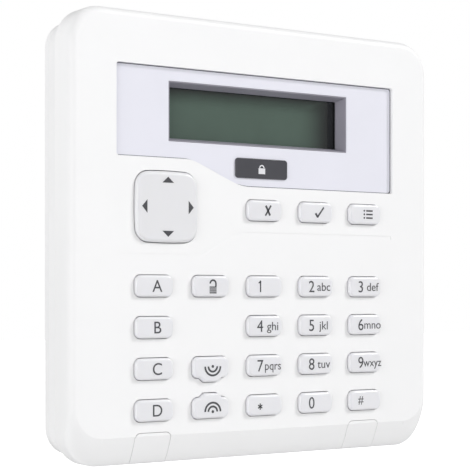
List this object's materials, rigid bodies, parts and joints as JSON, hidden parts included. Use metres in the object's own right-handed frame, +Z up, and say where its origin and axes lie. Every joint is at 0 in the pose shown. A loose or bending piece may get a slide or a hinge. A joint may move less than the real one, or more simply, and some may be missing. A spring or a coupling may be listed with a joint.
{
  "type": "alarm keypad panel",
  "caption": "Square wall-mounted alarm control panel with a recessed display, a four-way pad, lettered and numbered keys, and a front that swings on its base.",
  "frame": {"origin": "centre of the wall face, where the base lies on the wall", "axes": "+Y into the wall, +Z up, +X to the right of someone who faces the keys; the front looks along -Y"},
  "size_m": [0.151, 0.0245, 0.151],
  "materials": {
    "cover_plastic": "white moulded ABS, fine satin texture",
    "base_plastic": "white moulded ABS, satin",
    "key_plastic": "milky translucent key cap with grey legend",
    "pad_plastic": "milky translucent cap with grey arrows",
    "inlay": "pale lavender-silver inlay",
    "badge_black": "dark badge with a pale padlock",
    "bezel_grey": "dark grey moulding",
    "display_glass": "dark green liquid crystal glass",
    "sheet_steel": "bent sheet",
    "light_guide": "clear light guide",
    "circuit_board": "green solder mask",
    "header_black": "moulded strip with gilt pins",
    "screw_steel": "zinc plated",
    "silicone": "grey silicone",
    "component_black": "moulded black",
    "can_aluminium": "drawn can",
    "terminal_green": "moulded green",
    "gimbal_steel": "ground pins"
  },
  "bodies": {
    "base": {"rear_base": "base_plastic"},
    "front": {"front_cover": "cover_plastic", "display_lens": "inlay", "badge": "badge_black", "lcd_bezel": "bezel_grey", "lcd_glass": "display_glass", "lcd_frame": "sheet_steel", "lcd_backlight": "light_guide", "lcd_board": "circuit_board", "lcd_header": "header_black", "lcd_screws": "screw_steel", "keymat": "silicone", "main_board": "circuit_board", "board_screws": "screw_steel", "sounder": "component_black", "controller_chip": "component_black", "small_chips": "component_black", "capacitors": "can_aluminium", "voltage_regulator": "component_black", "crystal": "can_aluminium", "option_header": "header_black", "terminal_block": "terminal_green", "terminal_screws": "screw_steel", "tamper_switch": "component_black", "cover_screw_left": "screw_steel", "cover_screw_right": "screw_steel", "nav_pillar": "base_plastic", "nav_switches": "component_black"},
    "key_a": {"key_a": "key_plastic"},
    "key_b": {"key_b": "key_plastic"},
    "key_c": {"key_c": "key_plastic"},
    "key_d": {"key_d": "key_plastic"},
    "key_unlock": {"key_unlock": "key_plastic"},
    "key_wave_upper": {"key_wave_upper": "key_plastic"},
    "key_wave_lower": {"key_wave_lower": "key_plastic"},
    "key_1": {"key_1": "key_plastic"},
    "key_2": {"key_2": "key_plastic"},
    "key_3": {"key_3": "key_plastic"},
    "key_4": {"key_4": "key_plastic"},
    "key_5": {"key_5": "key_plastic"},
    "key_6": {"key_6": "key_plastic"},
    "key_7": {"key_7": "key_plastic"},
    "key_8": {"key_8": "key_plastic"},
    "key_9": {"key_9": "key_plastic"},
    "key_star": {"key_star": "key_plastic"},
    "key_0": {"key_0": "key_plastic"},
    "key_hash": {"key_hash": "key_plastic"},
    "key_cancel": {"key_cancel": "key_plastic"},
    "key_enter": {"key_enter": "key_plastic"},
    "key_menu": {"key_menu": "key_plastic"},
    "pad_gimbal": {"nav_gimbal": "gimbal_steel"},
    "nav_pad": {"nav_pad": "pad_plastic"},
    "screw_cap_left": {"screw_cap_left": "cover_plastic"},
    "screw_cap_right": {"screw_cap_right": "cover_plastic"},
    "tamper_plunger": {"tamper_plunger": "base_plastic"}
  },
  "joints": [
    {"name": "front_swing", "type": "hinge", "parent": "base", "child": "front", "pos_m": [0, -0.012, 0.0738], "axis": [-1, 0, 0], "range_deg": [0, 60]},
    {"name": "key_a_press", "type": "slide", "parent": "front", "child": "key_a", "axis": [0, 1, 0], "range_m": [0, 0.0012], "stiffness_N_per_m": 800},
    {"name": "key_b_press", "type": "slide", "parent": "front", "child": "key_b", "axis": [0, 1, 0], "range_m": [0, 0.0012], "stiffness_N_per_m": 800},
    {"name": "key_c_press", "type": "slide", "parent": "front", "child": "key_c", "axis": [0, 1, 0], "range_m": [0, 0.0012], "stiffness_N_per_m": 800},
    {"name": "key_d_press", "type": "slide", "parent": "front", "child": "key_d", "axis": [0, 1, 0], "range_m": [0, 0.0012], "stiffness_N_per_m": 800},
    {"name": "key_unlock_press", "type": "slide", "parent": "front", "child": "key_unlock", "axis": [0, 1, 0], "range_m": [0, 0.0012], "stiffness_N_per_m": 800},
    {"name": "key_wave_upper_press", "type": "slide", "parent": "front", "child": "key_wave_upper", "axis": [0, 1, 0], "range_m": [0, 0.0012], "stiffness_N_per_m": 800},
    {"name": "key_wave_lower_press", "type": "slide", "parent": "front", "child": "key_wave_lower", "axis": [0, 1, 0], "range_m": [0, 0.0012], "stiffness_N_per_m": 800},
    {"name": "key_1_press", "type": "slide", "parent": "front", "child": "key_1", "axis": [0, 1, 0], "range_m": [0, 0.0012], "stiffness_N_per_m": 800},
    {"name": "key_2_press", "type": "slide", "parent": "front", "child": "key_2", "axis": [0, 1, 0], "range_m": [0, 0.0012], "stiffness_N_per_m": 800},
    {"name": "key_3_press", "type": "slide", "parent": "front", "child": "key_3", "axis": [0, 1, 0], "range_m": [0, 0.0012], "stiffness_N_per_m": 800},
    {"name": "key_4_press", "type": "slide", "parent": "front", "child": "key_4", "axis": [0, 1, 0], "range_m": [0, 0.0012], "stiffness_N_per_m": 800},
    {"name": "key_5_press", "type": "slide", "parent": "front", "child": "key_5", "axis": [0, 1, 0], "range_m": [0, 0.0012], "stiffness_N_per_m": 800},
    {"name": "key_6_press", "type": "slide", "parent": "front", "child": "key_6", "axis": [0, 1, 0], "range_m": [0, 0.0012], "stiffness_N_per_m": 800},
    {"name": "key_7_press", "type": "slide", "parent": "front", "child": "key_7", "axis": [0, 1, 0], "range_m": [0, 0.0012], "stiffness_N_per_m": 800},
    {"name": "key_8_press", "type": "slide", "parent": "front", "child": "key_8", "axis": [0, 1, 0], "range_m": [0, 0.0012], "stiffness_N_per_m": 800},
    {"name": "key_9_press", "type": "slide", "parent": "front", "child": "key_9", "axis": [0, 1, 0], "range_m": [0, 0.0012], "stiffness_N_per_m": 800},
    {"name": "key_star_press", "type": "slide", "parent": "front", "child": "key_star", "axis": [0, 1, 0], "range_m": [0, 0.0012], "stiffness_N_per_m": 800},
    {"name": "key_0_press", "type": "slide", "parent": "front", "child": "key_0", "axis": [0, 1, 0], "range_m": [0, 0.0012], "stiffness_N_per_m": 800},
    {"name": "key_hash_press", "type": "slide", "parent": "front", "child": "key_hash", "axis": [0, 1, 0], "range_m": [0, 0.0012], "stiffness_N_per_m": 800},
    {"name": "key_cancel_press", "type": "slide", "parent": "front", "child": "key_cancel", "axis": [0, 1, 0], "range_m": [0, 0.0012], "stiffness_N_per_m": 800},
    {"name": "key_enter_press", "type": "slide", "parent": "front", "child": "key_enter", "axis": [0, 1, 0], "range_m": [0, 0.0012], "stiffness_N_per_m": 800},
    {"name": "key_menu_press", "type": "slide", "parent": "front", "child": "key_menu", "axis": [0, 1, 0], "range_m": [0, 0.0012], "stiffness_N_per_m": 800},
    {"name": "pad_rock_up_down", "type": "hinge", "parent": "front", "child": "pad_gimbal", "pos_m": [-0.0396, -0.0194, 0.01035], "axis": [1, 0, 0], "range_deg": [-2, 2], "stiffness_Nm_per_rad": 0.25},
    {"name": "pad_rock_left_right", "type": "hinge", "parent": "pad_gimbal", "child": "nav_pad", "pos_m": [-0.0396, -0.0194, 0.01035], "axis": [0, 0, 1], "range_deg": [-2, 2], "stiffness_Nm_per_rad": 0.25},
    {"name": "screw_cap_left_pull", "type": "slide", "parent": "front", "child": "screw_cap_left", "axis": [0, -1, 0], "range_m": [0, 0.012]},
    {"name": "screw_cap_right_pull", "type": "slide", "parent": "front", "child": "screw_cap_right", "axis": [0, -1, 0], "range_m": [0, 0.012]},
    {"name": "tamper_press", "type": "slide", "parent": "front", "child": "tamper_plunger", "axis": [0, -1, 0], "range_m": [0, 0.0008], "stiffness_N_per_m": 400}
  ]
}
